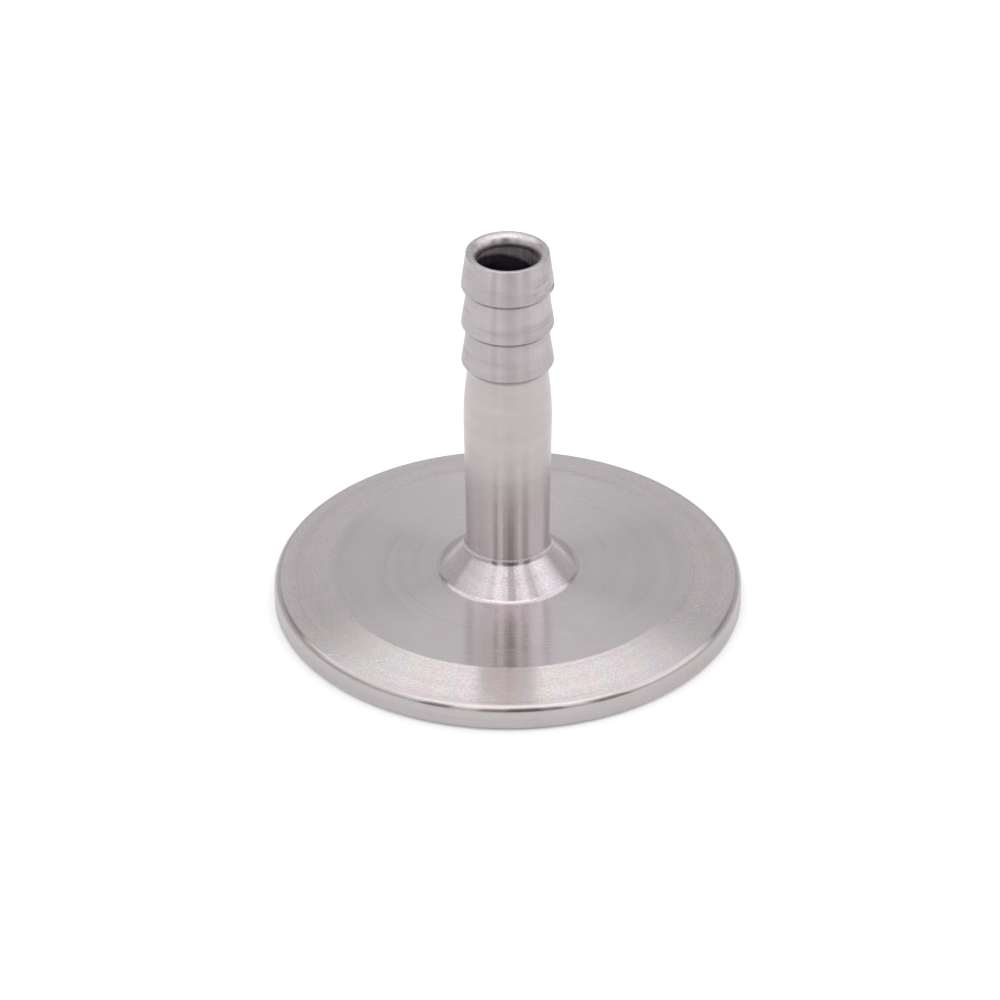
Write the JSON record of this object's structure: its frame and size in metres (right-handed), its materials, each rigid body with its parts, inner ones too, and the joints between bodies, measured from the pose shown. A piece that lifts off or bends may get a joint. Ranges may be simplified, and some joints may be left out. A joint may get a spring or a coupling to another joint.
{
  "type": "hose barb fitting",
  "caption": "Stainless steel hose barb fitting: a barbed hose tail on a hub cone, turned in one piece with a bevelled sanitary clamp flange and a through bore.",
  "frame": {"origin": "centre of the flat sealing face under the flange, on the bore's axis", "axes": "+Z along the bore's axis, from the sealing face up to the barbed end"},
  "size_m": [0.0505, 0.0504, 0.043],
  "materials": {
    "turned_steel": "fine turned stainless steel, satin, with circular tool marks"
  },
  "bodies": {
    "root": {"barb_fitting": "turned_steel"}
  },
  "joints": []
}
